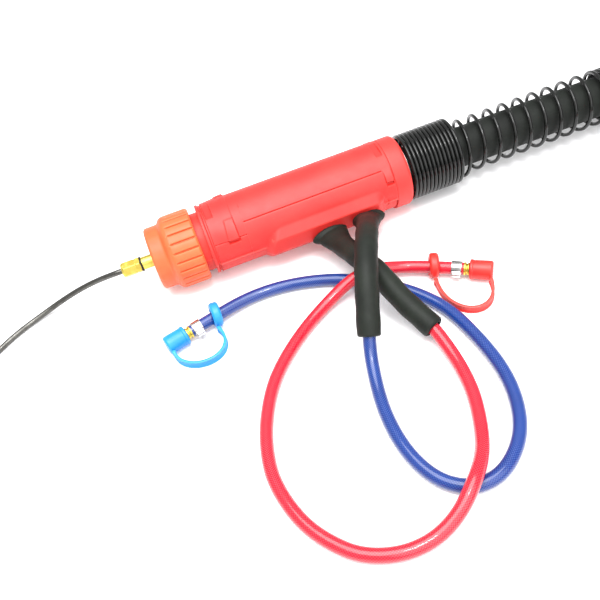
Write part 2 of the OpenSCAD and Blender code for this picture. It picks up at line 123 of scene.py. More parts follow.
def window(a, b, soft, v):
    return step(a - soft, a + soft, v) * (1 - step(b - soft, b + soft, v))


def smooth_max(a, b, k):
    h = min(max(0.5 + 0.5 * (a - b) / k, 0.0), 1.0)
    return b + (a - b) * h + k * h * (1 - h)


def smooth_min(a, b, k):
    return -smooth_max(-a, -b, k)


def rounded(points, radius, steps=3):
    """A closed outline with each corner turned into a small arc."""
    out = []
    n = len(points)
    for i in range(n):
        a, p, b = (Vector(points[(i + d) % n]) for d in (-1, 0, 1))
        u, v = a - p, b - p
        turn = math.pi - u.angle(v) if u.length > 1e-6 and v.length > 1e-6 else 0.0
        if turn < math.radians(12):
            out.append(tuple(p))
            continue
        d = min(radius, 0.42 * u.length, 0.42 * v.length)
        u, v = p + u.normalized() * d, p + v.normalized() * d
        for k in range(steps + 1):
            t = k / steps
            out.append(tuple((1 - t) ** 2 * u + 2 * t * (1 - t) * p + t ** 2 * v))
    return out


# ---- Pieces ----

def piece(name, verts, faces, material, body="root", place=None, sharp=None, slot=None):
    """A mesh object from points in millimetres, riding on a CAD body."""
    mesh = bpy.data.meshes.new(name)
    at = place or Matrix()
    mesh.from_pydata([(at @ vec(v)) * MM for v in verts], [], faces)
    bm = bmesh.new()
    bm.from_mesh(mesh)
    bmesh.ops.remove_doubles(bm, verts=bm.verts, dist=1e-7)
    bmesh.ops.recalc_face_normals(bm, faces=bm.faces)
    bm.to_mesh(mesh)
    bm.free()
    mesh.materials.append(material)
    mesh.shade_smooth()
    if sharp:
        mesh.set_sharp_from_angle(angle=math.radians(sharp))
    obj = bpy.data.objects.new(name, mesh)
    bpy.context.scene.collection.objects.link(obj)
    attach(obj, body)
    return obj


def loops_mesh(loops, closed=True, joined=False, caps=True):
    """Vertices and faces of a skin through loops of equal size."""
    n = len(loops[0])
    verts = [p for loop in loops for p in loop]
    faces = []
    rows = len(loops) if joined else len(loops) - 1
    for i in range(rows):
        j = (i + 1) % len(loops)
        for k in range(n if closed else n - 1):
            m = (k + 1) % n
            faces.append((i * n + k, i * n + m, j * n + m, j * n + k))
    if caps and not joined:
        faces.append(tuple(range(n - 1, -1, -1)))
        faces.append(tuple((len(loops) - 1) * n + k for k in range(n)))
    return verts, faces


def lathe_mesh(profile, steps=96, radius_at=None):
    """A closed (radius, x) outline turned about X; radius_at may change a radius at an angle."""
    loops = []
    for i in range(steps):
        a = 360 * i / steps
        loop = []
        for r, x in profile:
            r = radius_at(r, x, a) if radius_at else r
            loop.append((x, r * math.cos(math.radians(a)), r * math.sin(math.radians(a))))
        loops.append(loop)
    return loops_mesh(loops, joined=True, caps=False)


def lathe(name, profile, material, rounding=0.3, steps=96, **keys):
    verts, faces = lathe_mesh(rounded(profile, rounding) if rounding else profile, steps)
    return piece(name, verts, faces, material, sharp=40, **keys)


def tube_mesh(line, radius, sides=24, frames=None, section=None):
    """A tube along line. radius is a number or a function of (index, angle)."""
    frames = frames or carried_frames(line)
    loops = []
    for i, (p, (_, side, up)) in enumerate(zip(line, frames)):
        loop = []
        if section:
            loop = [p + side * a + up * b for a, b in section(i)]
        else:
            for k in range(sides):
                a = 2 * math.pi * k / sides
                r = radius(i, a) if callable(radius) else radius
                loop.append(p + (side * math.cos(a) + up * math.sin(a)) * r)
        loops.append(loop)
    return loops_mesh(loops)


def add_length_map(obj, line, sides):
    """A UV map for a tube: U once round, V its length in centimetres."""
    layer = obj.data.uv_layers.new(name="along")
    run = [0.0]
    for a, b in zip(line, line[1:]):
        run.append(run[-1] + (b - a).length / 10)
    count = len(line) * sides
    for poly in obj.data.polygons:
        ids = list(poly.vertices)
        if len(ids) != 4 or max(ids) >= count:
            continue
        wrap = max(i % sides for i in ids) - min(i % sides for i in ids) > 1
        for loop_index, vertex in zip(poly.loop_indices, ids):
            k = vertex % sides
            u = 1.0 if wrap and k == 0 else k / sides
            layer.data[loop_index].uv = (u, run[vertex // sides])


# ---- Materials ----

def srgb(r, g, b):
    """A linear colour from 0-255 sRGB."""
    linear = [((c / 255 + 0.055) / 1.055) ** 2.4 if c > 10 else c / 255 / 12.92 for c in (r, g, b)]
    return (*linear, 1.0)


class Look:
    """A material whose nodes are added one by one."""

    def __init__(self, name, **sockets):
        self.material = bpy.data.materials.new(name)
        self.material.use_nodes = True
        self.tree = self.material.node_tree
        self.shader = self.tree.nodes["Principled BSDF"]
        for key, value in sockets.items():
            self.shader.inputs[key.replace("_", " ")].default_value = value
        self.where = self.add("ShaderNodeTexCoord")

    def add(self, kind, *inputs, **settings):
        node = self.tree.nodes.new(kind)
        for key, value in settings.items():
            setattr(node, key, value)
        for i, value in enumerate(inputs):
            self.feed(node.inputs[i], value)
        return node

    def feed(self, socket, value):
        if value is None:
            return
        if isinstance(value, bpy.types.NodeSocket):
            self.tree.links.new(value, socket)
        else:
            socket.default_value = value

    def noise(self, scale, detail=3.0, rough=0.55, stretch=None):
        """Noise over the object's own place, with scale in features per metre."""
        place = self.where.outputs["Object"]
        if stretch:
            mapping = self.add("ShaderNodeMapping")
            self.feed(mapping.inputs["Vector"], place)
            mapping.inputs["Scale"].default_value = stretch
            place = mapping.outputs["Vector"]
        node = self.add("ShaderNodeTexNoise")
        self.feed(node.inputs["Vector"], place)
        node.inputs["Scale"].default_value = scale
        node.inputs["Detail"].default_value = detail
        node.inputs["Roughness"].default_value = rough
        return node.outputs["Fac"]

    def ramp(self, value, *stops):
        node = self.add("ShaderNodeValToRGB", value)
        stops = list(stops)
        while len(node.color_ramp.elements) < len(stops):
            node.color_ramp.elements.new(0.5)
        for element, (place, colour) in zip(node.color_ramp.elements, stops):
            element.position = place
            element.color = colour if isinstance(colour, tuple) else (colour, colour, colour, 1)
        return node.outputs["Color"]

    def mix(self, factor, a, b, blend="MIX"):
        node = self.add("ShaderNodeMix", data_type="RGBA", blend_type=blend)
        self.feed(node.inputs["Factor"], factor)
        self.feed(node.inputs[6], a)
        self.feed(node.inputs[7], b)
        return node.outputs[2]

    def maths(self, operation, a, b=None):
        node = self.add("ShaderNodeMath", a, b, operation=operation)
        return node.outputs[0]

    def spread(self, value, low, high):
        """value, mapped from 0..1 to low..high."""
        node = self.add("ShaderNodeMapRange")
        self.feed(node.inputs["Value"], value)
        node.inputs["To Min"].default_value = low
        node.inputs["To Max"].default_value = high
        return node.outputs["Result"]

    def colour(self, value):
        self.feed(self.shader.inputs["Base Color"], value)

    def roughness(self, value):
        self.feed(self.shader.inputs["Roughness"], value)

    def bump(self, height, depth, strength=1.0):
        """Bump of the given depth in metres, over any bump already there."""
        node = self.add("ShaderNodeBump")
        node.inputs["Strength"].default_value = strength
        node.inputs["Distance"].default_value = depth
        self.feed(node.inputs["Height"], height)
        normal = self.shader.inputs["Normal"]
        if normal.is_linked:
            self.feed(node.inputs["Normal"], normal.links[0].from_socket)
        self.feed(normal, node.outputs["Normal"])

    def edge_wear(self, base, worn, amount):
        """Lighter colour where the surface turns outward."""
        node = self.add("ShaderNodeNewGeometry")
        edge = self.ramp(node.outputs["Pointiness"], (0.50, 0.0), (0.58, 1.0))
        return self.mix(self.maths("MULTIPLY", edge, amount), base, worn)


def plastic(name, tone, low, high, rough, grain=0.00004, grain_scale=2200.0, coat=0.0):
    """Moulded plastic: slight mottle, fine grain, worn edges."""
    look = Look(name, Roughness=rough, Coat_Weight=coat, Coat_Roughness=0.18, IOR=1.5)
    mottle = look.noise(45.0, 4.0)
    base = look.mix(look.ramp(mottle, (0.35, 0.0), (0.7, 1.0)), low, high)
    speck = look.ramp(look.noise(900.0, 2.0), (0.62, 0.0), (0.75, 1.0))
    base = look.mix(look.maths("MULTIPLY", speck, 0.10), base, tone)
    look.colour(look.edge_wear(base, tone, 0.35))
    look.roughness(look.spread(look.noise(160.0, 3.0), rough - 0.07, rough + 0.09))
    look.bump(look.noise(grain_scale, 2.0), grain, 0.5)
    look.bump(look.noise(25.0, 2.0), 0.0002, 0.25)
    return look.material


def rubber(name, dark, light, rough=0.62):
    """Matt moulded rubber with a dusty bloom."""
    look = Look(name, Roughness=rough, IOR=1.4, Specular_IOR_Level=0.35)
    dust = look.ramp(look.noise(38.0, 6.0, 0.65), (0.42, 0.0), (0.75, 1.0))
    base = look.mix(dust, dark, light)
    look.colour(look.edge_wear(base, light, 0.3))
    look.roughness(look.spread(look.noise(120.0, 4.0), rough - 0.10, rough + 0.08))
    look.bump(look.noise(1500.0, 3.0), 0.00006, 0.5)
    look.bump(look.noise(90.0, 2.0), 0.0003, 0.2)
    return look.material


def metal(name, low, high, rough, turned_lines=0.00001, stretch=(1.0, 1.0, 1.0)):
    """Turned or plated metal with tool marks, stains and dulled patches."""
    look = Look(name, Metallic=1.0, Roughness=rough)
    stain = look.ramp(look.noise(160.0, 5.0, 0.6), (0.3, 0.0), (0.72, 1.0))
    look.colour(look.mix(stain, high, low))
    look.roughness(look.spread(look.noise(420.0, 4.0), rough - 0.08, rough + 0.16))
    look.bump(look.noise(3000.0, 2.0, stretch=stretch), turned_lines, 0.6)
    return look.material


def braided(name, deep, bright, yarn):
    """A clear-coated hose: a diamond of fine yarns under a glossy skin."""
    look = Look(name, Roughness=0.32, Coat_Weight=0.7, Coat_Roughness=0.05, Specular_IOR_Level=0.3)
    uv = look.add("ShaderNodeUVMap", uv_map="along")
    split = look.add("ShaderNodeSeparateXYZ", uv.outputs["UV"])
    turns = look.maths("MULTIPLY", split.outputs["X"], 16.0)
    along = look.maths("MULTIPLY", split.outputs["Y"], 6.0)
    yarns = []
    for sign in ("ADD", "SUBTRACT"):
        phase = look.maths("FRACT", look.maths(sign, turns, along))
        off = look.maths("ABSOLUTE", look.maths("SUBTRACT", phase, 0.5))
        yarns.append(look.ramp(off, (0.0, 1.0), (0.13, 0.75), (0.22, 0.0)))
    both = look.maths("MAXIMUM", yarns[0], yarns[1])
    cross = look.maths("MULTIPLY", yarns[0], yarns[1])
    patch = look.ramp(look.noise(60.0, 4.0), (0.3, 0.45), (0.75, 1.0))
    base = look.mix(look.noise(90.0, 3.0), deep, bright)
    base = look.mix(look.maths("MULTIPLY", look.maths("MULTIPLY", both, patch), 0.15), base, bright)
    base = look.mix(look.maths("MULTIPLY", look.maths("MULTIPLY", cross, patch), 0.6), base, yarn)
    look.colour(base)
    look.roughness(look.spread(both, 0.26, 0.42))
    look.bump(both, 0.00012, 0.5)
    return look.material


def spring_paint():
    """Glossy black coating that runs thin and scuffed in places."""
    look = Look("spring_paint", Roughness=0.2, Specular_IOR_Level=0.4)
    scuff = look.ramp(look.noise(300.0, 5.0, 0.7), (0.66, 0.0), (0.74, 1.0))
    look.colour(look.mix(scuff, (0.003, 0.0035, 0.003, 1), (0.03, 0.03, 0.03, 1)))
    look.roughness(look.spread(scuff, 0.17, 0.4))
    look.bump(look.noise(500.0, 3.0), 0.00004, 0.4)
    return look.material


def liner_wire():
    """Close-wound steel wire, darkened, with oil in its grooves."""
    look = Look("liner_wire", Metallic=0.9, Roughness=0.26)
    oil = look.ramp(look.noise(240.0, 4.0), (0.35, 0.0), (0.7, 1.0))
    look.colour(look.mix(oil, (0.11, 0.108, 0.1, 1), (0.07, 0.068, 0.062, 1)))
    look.roughness(look.spread(oil, 0.22, 0.34))
    look.bump(look.noise(1800.0, 2.0), 0.00002, 0.5)
    return look.material


def woven_tape():
    """Hook-and-loop tape: a coarse weave with fuzz."""
    look = Look("woven_tape", Roughness=0.9, Sheen_Weight=0.6, Sheen_Roughness=0.4)
    wave_a = look.add("ShaderNodeTexWave", look.where.outputs["Object"], bands_direction="Z")
    wave_a.inputs["Scale"].default_value = 260.0
    wave_a.inputs["Distortion"].default_value = 1.5
    wave_b = look.add("ShaderNodeTexWave", look.where.outputs["Object"], bands_direction="X")
    wave_b.inputs["Scale"].default_value = 260.0
    wave_b.inputs["Distortion"].default_value = 1.5
    weave = look.maths("MULTIPLY", wave_a.outputs["Fac"], wave_b.outputs["Fac"])
    look.colour(look.mix(weave, (0.012, 0.012, 0.014, 1), (0.05, 0.05, 0.055, 1)))
    look.bump(weave, 0.0004, 0.7)
    look.bump(look.noise(2600.0, 3.0), 0.0003, 0.6)
    return look.material


HOUSING_RED = plastic("housing_red", srgb(240, 96, 84), srgb(206, 34, 30), srgb(214, 42, 36), 0.5)
NUT_ORANGE = plastic("nut_orange", srgb(246, 140, 84), srgb(214, 82, 38), srgb(224, 94, 46), 0.48)
# A copy of the housing red, made a little lighter and more orange: painted light on the collar seen in the
# shaded gap between nut and housing.
COLLAR_RED_PAINTED_LIGHT = plastic("collar_red_painted_light", srgb(240, 100, 80), srgb(208, 36, 26), srgb(216, 44, 32), 0.5)
BLACK_PLASTIC = plastic("black_plastic", srgb(90, 90, 92), srgb(22, 22, 23), srgb(30, 30, 31), 0.48)
CAP_RED = plastic("cap_red_soft", srgb(240, 90, 76), srgb(212, 30, 24), srgb(220, 38, 30), 0.4)
CAP_BLUE = plastic("cap_blue_soft", srgb(80, 180, 235), srgb(4, 124, 200), srgb(10, 138, 212), 0.4)
INSULATOR = plastic("insulator_resin", srgb(235, 228, 210), srgb(205, 196, 172), srgb(216, 208, 186), 0.6)
BOOT_RUBBER = rubber("boot_rubber", srgb(17, 21, 17), srgb(29, 35, 28), 0.6)
CABLE_RUBBER = rubber("cable_rubber", srgb(10, 13, 10), srgb(22, 27, 22), 0.62)
SEAL_RUBBER = rubber("seal_rubber", srgb(16, 16, 16), srgb(34, 34, 34), 0.5)
NECK_SKIN = rubber("neck_skin", srgb(20, 20, 21), srgb(42, 42, 43), 0.42)
BRASS = metal("turned_brass", (0.50, 0.37, 0.05, 1), (0.78, 0.62, 0.14, 1), 0.3)
COPPER = metal("turned_copper", (0.50, 0.20, 0.10, 1), (0.86, 0.42, 0.25, 1), 0.26)
STEEL = metal("plated_steel", (0.34, 0.33, 0.32, 1), (0.62, 0.61, 0.60, 1), 0.20)
NICKEL = metal("nickel_plate", (0.55, 0.53, 0.50, 1), (0.82, 0.80, 0.77, 1), 0.14)
HOSE_RED = braided("hose_red_braid", srgb(182, 3, 28), srgb(202, 10, 40), srgb(238, 96, 116))
HOSE_BLUE = braided("hose_blue_braid", srgb(0, 34, 104), srgb(2, 48, 126), srgb(72, 132, 206))
SPRING_BLACK = spring_paint()
LINER = liner_wire()
TAPE = woven_tape()

SLOT_LOOKS = {
    "nut_plastic": NUT_ORANGE, "housing_plastic": HOUSING_RED, "black_plastic": BLACK_PLASTIC,
    "black_rubber": SEAL_RUBBER, "cable_rubber": CABLE_RUBBER, "spring_black": SPRING_BLACK,
    "liner_steel": LINER, "bright_steel": STEEL, "brass": BRASS, "copper": COPPER,
    "nozzle_chrome": NICKEL, "insulator": INSULATOR, "neck_cover": NECK_SKIN, "hose_red": HOSE_RED,
    "hose_blue": HOSE_BLUE, "cap_red": CAP_RED, "cap_blue": CAP_BLUE, "tie_fabric": TAPE,
}


def dress_cad_nodes():
    """Every CAD node gets its slot's material, whether or not a piece replaces it."""
    for row in frame["record"]["subparts"]:
        node = frame["nodes"][row["node"]]
        look = SLOT_LOOKS[row["material_slot"]]
        node.data.materials.clear()
        node.data.materials.append(look)


dress_cad_nodes()


# ---- Camera, light and floor ----

def add_camera():
    pitch, yaw, roll = (math.radians(a) for a in (CAMERA_PITCH, CAMERA_YAW, CAMERA_ROLL))
    right = vec((math.cos(yaw), -math.sin(yaw), 0))
    ahead = vec((math.sin(yaw), math.cos(yaw), 0))
    look = math.cos(pitch) * ahead - math.sin(pitch) * vec((0, 0, 1))
    up = math.sin(pitch) * ahead + math.cos(pitch) * vec((0, 0, 1))
    x_axis = math.cos(roll) * right + math.sin(roll) * up
    y_axis = -math.sin(roll) * right + math.cos(roll) * up
    data = bpy.data.cameras.new("photo_camera")
    data.lens = CAMERA_LENS
    camera = bpy.data.objects.new("photo_camera", data)
    turn = Matrix((x_axis, y_axis, -look)).transposed().to_4x4()
    camera.matrix_world = Matrix.Translation(vec(CAMERA_AT) * MM) @ turn
    bpy.context.scene.collection.objects.link(camera)
    bpy.context.scene.camera = camera


def add_area(name, at, target, size, power):
    data = bpy.data.lights.new(name, "AREA")
    data.shape = "DISK"
    data.size = size
    data.energy = power
    light = bpy.data.objects.new(name, data)
    light.location = at
    light.rotation_euler = (vec(at) - vec(target)).to_track_quat("Z", "Y").to_euler()
    bpy.context.scene.collection.objects.link(light)


def add_stage():
    look = Look("pale_floor", Roughness=0.75, Emission_Color=(1.0, 1.0, 1.0, 1), Emission_Strength=0.1)
    look.colour(look.mix(look.noise(3.0, 4.0), (0.86, 0.86, 0.87, 1), (0.90, 0.90, 0.91, 1)))
    look.bump(look.noise(400.0, 3.0), 0.0001, 0.2)
    bpy.ops.mesh.primitive_plane_add(size=8.0, location=(0.4, -0.1, FLOOR_Z * MM - 0.0002))
    floor = bpy.context.object
    floor.name = "floor"
    floor.data.materials.append(look.material)
    world = bpy.data.worlds.new("studio")
    bpy.context.scene.world = world
    world.use_nodes = True
    world.node_tree.nodes["Background"].inputs["Color"].default_value = (1.0, 1.0, 1.0, 1)
    world.node_tree.nodes["Background"].inputs["Strength"].default_value = 0.9
    middle = (0.2, -0.1, 0.0)
    add_area("key", (0.05, -0.15, 1.5), middle, 1.5, 36.0)
    add_area("lamp", (0.2, -0.45, 1.35), middle, 0.2, 5.0)
    add_area("fill", (0.5, -1.2, 0.9), middle, 1.6, 14.0)
    bpy.context.scene.view_settings.view_transform = "Standard"


add_camera()
add_stage()


# ---- Cords ----

CABLE_R = 15.2
HOSE_R = 4.4
LINER_R = 2.2
COIL_CENTRE = (620.0, -195.0)
COIL_MIDDLE_R = 160.0
COIL_FLOOR_Z = -12.3
COIL_GAP = 30.6
CABLE_ROUTE = [
    (196.8, 0, 0), (240, 0, 0), (290, 0, 0), (340, 0, 0), (390, 0, 0), (430, 0, -3.5), (470, 0, -8.5),
    (510, -1, -11.7), (550, -8, -12.3), (590, -17, -12.3), (620, -20, -12.3)]
LEAD_ROUTE = [
    (620, -355, 14.2), (585, -357, 14.2), (550, -363, 12.5), (515, -373, 6), (480, -383, -3),
    (455, -389, -8), (436, -390, -8.5)]
LINER_ROUTE = [
    (-6, 0, 0), (-15, 0, 0), (-24, 0, 0), (-30, 0, 0), (-37, 2.2, -2), (-46, 7, -6.5), (-62, 13, -14),
    (-80, 15, -21), (-97, 12, -25), (-114, 5, -25.5), (-131, -6, -25.5), (-146, -19, -25.5)]
BOOT_RED_ROUTE = [
    (126.5, -30, -8), (128.2, -39, -8), (130, -50.5, -6.5), (132.6, -65.5, -1.4), (136.6, -79.5, 0.3),
    (141, -92, -0.8), (144, -106, -5), (150, -121, -11), (157, -137, -16)]
BOOT_BLUE_ROUTE = [
    (155.5, -30, -6.5), (153.3, -38, -3), (147.8, -54, 7.3), (141.2, -71, 15.8), (134, -88, 17.8),
    (128, -102, 13.5), (123, -114, 6), (119, -123, -1.5), (116, -130, -8)]
RED_END = vec((199.5, -97.5, -20.1))
BLUE_END = vec((7.2, -61.8, -20.1))
RED_HEADING = -33.0
BLUE_HEADING = 195.0
HOSE_RED_FREE = [
    (159, -145, -19), (161, -158, -22.3), (161, -174, -23), (159, -191, -23), (154, -208, -23),
    (148, -223, -21.5), (141, -235, -16.5), (131, -247, -11.8), (119, -257, -16.5), (106, -263, -21.5),
    (93, -266, -23), (80, -266, -23), (68, -263, -23), (56, -257, -23), (47, -248, -23), (38, -236, -23),
    (32, -223, -23), (28, -208, -23), (26, -192, -23), (28, -176, -23), (32, -160, -23), (39, -143, -23),
    (48, -127, -23), (60, -113, -23), (73, -101, -23), (87, -90, -23), (103, -81, -21.5), (119, -75.5, -16.6),
    (134, -73, -12.6), (149, -73, -16.6), (163, -75.5, -20.5), (174, -81, -20.6), (184, -87.4, -20.3),
    (191.7, -92.4, -20.1), tuple(RED_END)]
HOSE_BLUE_FREE = [
    (113.5, -136, -13), (111, -144, -18), (108, -157, -22), (105, -174, -23), (104, -191, -23),
    (105, -207, -23), (108.5, -222, -23), (115, -235, -23), (124, -243, -23), (134, -247, -23),
    (147, -246, -23), (160, -238, -23), (172, -225, -23), (180, -206, -23), (184, -183, -23),
    (182, -155, -23), (176, -125, -23), (168, -109, -23), (156, -92, -23), (135, -73, -23),
    (117, -61.5, -23), (100, -54.5, -23), (83, -50, -23), (66, -48, -23), (48, -49.8, -22),
    (31, -55.4, -20.4), (18.8, -58.7, -20.1), tuple(BLUE_END)]
STRAP_BLUE_ROUTE = [
    (25.7, -65.2, -23), (28.6, -73, -24), (27.6, -81.4, -24.3), (21.6, -88.2, -24.3),
    (12.6, -90.6, -24.3), (3, -89, -24.3), (-5, -83.6, -23.6), (-8.2, -77.8, -22), (-8.2, -73.3, -20.6)]
STRAP_RED_ROUTE = [
    (178.5, -95.5, -23), (177.5, -105, -24), (178, -114, -24.3), (181.5, -123, -24.3),
    (188, -130, -24.3), (197, -132, -24.3), (205, -128.5, -23.6), (209.6, -121, -22), (210.8, -114.3, -20.6)]

# Where the coil's turns pass, by the angle turned clockwise from where the cable enters it
SHIFT_FROM, SHIFT_TO = 300.0, 355.0
CLIMB_FROM = SHIFT_FROM + 360 - 12
COIL_TURN = 900.0


def coil_place(turned):
    """Radius and height of the cable in the coil after it has turned by this angle."""
    outer = COIL_MIDDLE_R + COIL_GAP / 2
    inner = outer - COIL_GAP * step(SHIFT_FROM, SHIFT_TO, turned)
    if turned < CLIMB_FROM:
        return inner, COIL_FLOOR_Z
    beneath = outer - COIL_GAP * step(SHIFT_FROM, SHIFT_TO, turned - 360)
    lift = math.radians(180 - 120 * step(CLIMB_FROM, SHIFT_TO + 360, turned))
    reach = COIL_GAP - 1.2 * math.sin(2 * lift - math.pi / 2) ** 4 * (1 if turned < SHIFT_TO + 360 else 0)
    return beneath + reach * math.cos(lift), COIL_FLOOR_Z + reach * math.sin(lift)


def coil_point(turned):
    r, z = coil_place(turned)
    a = math.radians(90 - turned)
    return vec((COIL_CENTRE[0] + r * math.cos(a), COIL_CENTRE[1] + r * math.sin(a), z))


def cable_line():
    coil = [coil_point(a) for a in range(3, int(COIL_TURN) - 2, 3)]
    line = smooth_route(CABLE_ROUTE, 12)[:-1] + coil + smooth_route(LEAD_ROUTE, 12)[1:]
    for _ in range(2):
        line = [line[0]] + [(a + 2 * b + c) / 4 for a, b, c in zip(line, line[1:], line[2:])] + [line[-1]]
    return even_line(line, 6.0)


def tube(name, line, radius, material, sides=24, slot=None, body="root"):
    verts, faces = tube_mesh(line, radius, sides)
    obj = piece(name, verts, faces, material, slot=slot, body=body, sharp=50)
    add_length_map(obj, line, sides)
    return obj


def ribbed_liner(line):
    """The liner's turns of wire, as a fine helical ridge."""
    pitch, depth, sides = 1.3, 0.02, 16
    fine = even_line(line, pitch / 6)

    def radius(i, a):
        return LINER_R - depth + depth * math.cos(2 * math.pi * i / 6 + a)
    verts, faces = tube_mesh(fine, radius, sides)
    return piece("liner_tube", verts, faces, LINER, slot="liner_steel", sharp=60)


cable_path = cable_line()
red_path = even_line(smooth_route([(126, -15, -11.5)] + BOOT_RED_ROUTE + HOSE_RED_FREE, 8), 2.5)
blue_path = even_line(smooth_route([(160, -15, -10.5)] + BOOT_BLUE_ROUTE + HOSE_BLUE_FREE, 8), 2.5)
liner_path = smooth_route(LINER_ROUTE, 12)
cable = tube("main_cable", cable_path, CABLE_R, CABLE_RUBBER, 32, "cable_rubber")
red_hose = tube("red_coolant_hose", red_path, HOSE_R, HOSE_RED, 28, "hose_red")
blue_hose = tube("blue_coolant_hose", blue_path, HOSE_R, HOSE_BLUE, 28, "hose_blue")
liner = ribbed_liner(liner_path)
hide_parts("cable_jacket", "cable_coil", "cable_lead")
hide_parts("hose_red")
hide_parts("hose_blue")
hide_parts("wire_liner")


def coil_ties():
    """Three tapes drawn tight round the coil's turns."""
    ties = []
    for n, at in enumerate((60.0, 180.0, 300.0)):
        passes = [coil_place(t) for t in (90 - at + 360 * k for k in range(4)) if 0 <= t <= COIL_TURN]
        loops = []
        for across, grow in ((-9, 0.25), (-8.8, 0.9), (8.8, 0.9), (9, 0.25), (8.8, 0.02), (-8.8, 0.02)):
            loop = []
            for k in range(72):
                a = 2 * math.pi * k / 72
                way = Vector((math.cos(a), math.sin(a)))
                r, z = max(passes, key=lambda p: Vector(p).dot(way))
                point = Vector((r, z)) + way * (CABLE_R + grow)
                z = max(point.y, FLOOR_Z + 0.05 * (1 - grow))
                loop.append((point.x, across, z))
            loops.append(loop)
        verts, faces = loops_mesh(loops, joined=True, caps=False)
        place = Matrix.Translation((*COIL_CENTRE, 0)) @ Matrix.Rotation(math.radians(at), 4, "Z")
        ties.append(piece(f"coil_tape_{n + 1}", verts, faces, TAPE, place=place, slot="tie_fabric", sharp=40))
        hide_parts("coil_ties")
    return ties


tapes = coil_ties()


# ---- Plug ----

NUT_R = 27.5
CUP_R = 23.3
RING_X0, RING_X1 = 10.6, 34.5
NUT_GROOVES = 24


def plug_nut():
    """The plug nut: a smooth cup, a ring of flat ribs and the thread inside."""
    thread = []
    for k in range(5):
        thread += [(20, 18.0 - 3.6 * k), (21, 17.2 - 3.6 * k), (21, 16.2 - 3.6 * k), (20, 15.4 - 3.6 * k)]
    outline = [
        (20, -0.2), (20.6, -0.8), (CUP_R - 1.2, -0.8), (CUP_R, 0.6), (CUP_R + 0.1, RING_X0 - 1.6),
        (CUP_R + 0.7, RING_X0 - 0.4), (NUT_R - 2.0, RING_X0 + 0.5), (NUT_R - 0.7, RING_X0 + 2.0),
        (NUT_R, RING_X0 + 4.0), (NUT_R, RING_X0 + 5.2), (NUT_R, RING_X0 + 6.2), (NUT_R, RING_X0 + 7.2),
        (NUT_R, RING_X1 - 1.5), (NUT_R - 1.3, RING_X1), (22.7, RING_X1), (22.7, 27), (17.35, 27), (17.35, 23),
        (20, 23)] + thread
    outline = rounded(outline, 0.6, 4)
    groove_half = math.degrees(0.55 / NUT_R)
    marks = (0, 0.45, 0.8, 1.0, 1.25, 1.7, 2.6)
    pitch = 360 / NUT_GROOVES
    near_groove = {m * groove_half for m in marks}
    next_groove = {pitch - m * groove_half for m in marks[1:]}
    rib = sorted(near_groove | next_groove | {pitch / 2})
    loops = []
    for g in range(NUT_GROOVES):
        for off in rib:
            a = math.radians(pitch * (g + 0.5) + off)
            depth = 1.25 * (1 - step(0.5, 1.45, min(off, pitch - off) / groove_half))
            loop = []
            for r, x in outline:
                cut = NUT_R - depth - 0.2 * (1 - step(1.0, 2.6, min(off, pitch - off) / groove_half))
                if r > NUT_R - 1.6:
                    r = min(r, NUT_R - (NUT_R - cut) * step(RING_X0 + 3.0, RING_X0 + 6.4, x))
                loop.append((x, r * math.cos(a), r * math.sin(a)))
            loops.append(loop)
    verts, faces = loops_mesh(loops, joined=True, caps=False)
    nut = piece("plug_nut_shell", verts, faces, NUT_ORANGE, body="plug_nut", sharp=35, slot="nut_plastic")
    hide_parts("plug_nut")


def liner_nut():
    """A hexagon with turned ends, screwed over the pin's stub."""
    across = 11.8
    outline = rounded([
        (2.6, -25.5), (4.3, -25.5), (5.0, -25.1), (5.9, -23.6), (5.95, -15.4), (5.3, -15.1), (5.3, -14.5),
        (5.95, -14.2), (5.95, -11.6), (5.2, -11), (3.27, -11), (3.27, -18.3), (2.6, -18.3)], 0.25, 3)

    def hexagon(r, x, a):
        side = (a - 8) % 60 - 30
        flat = across / 2 * math.cos(math.radians(30)) / math.cos(math.radians(side))
        return smooth_min(r, flat, 0.12) if r > 3.5 else r
    verts, faces = lathe_mesh(outline, 120, hexagon)
    nut = piece("liner_nut_turned", verts, faces, BRASS, body="liner_nut", sharp=30, slot="brass")
    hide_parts("liner_nut")


plug_nut()
liner_nut()


# ---- Housing ----

HOUSING_R = 26.8
HOUSING_WALL = 2.6
HOUSING_X0, HOUSING_X1 = 40.0, 182.6
COVER_X0 = 43.8
SEAM_HIGH, SEAM_LOW = 20.0, 12.8
BAND_FRONT, BAND_REAR = 68.8, 175.2
SEAM_GAP = 0.3
FAIRING_X0, FAIRING_X1 = 79.0, 174.0
FAIRING_FACES = [
    (0.7296, 0.6840, 24.73), (0.9984, -0.0560, 30.67), (0.7467, -0.6656, 28.74), (0.0, -1.0, 18.5)]
LEDGE_ANGLE = -6.4
COLLAR_X1 = 195.8


def side_angle(th):
    """The angle from the nearer side's middle, up being positive: 0 at -Y and at +Y, 90 on top."""
    th = (th + 180) % 360 - 180
    if th > 90:
        return 180 - th
    return -180 - th if th < -90 else th


def fairing_radius(x, th):
    """The fairing on the hose side, as a distance from the axis."""
    if not -80 < th < 40:
        return 0.0
    c, s = math.cos(math.radians(th)), math.sin(math.radians(th))
    r = 60.0
    for out, up, reach in FAIRING_FACES:
        facing = out * c + up * s
        if facing > 0.05:
            r = smooth_min(r, reach / facing, 0.35)
    height = max(0.0, min(1.0, (HOUSING_R * s + 8) / 17))
    nose = FAIRING_X0 + 9.5 * height ** 2
    swell = step(nose - 1.5, nose + 4.5, x) * (1 - step(FAIRING_X1 - 9, FAIRING_X1, x))
    return HOUSING_R - 1.2 + (r - HOUSING_R + 1.2) * swell ** 0.6


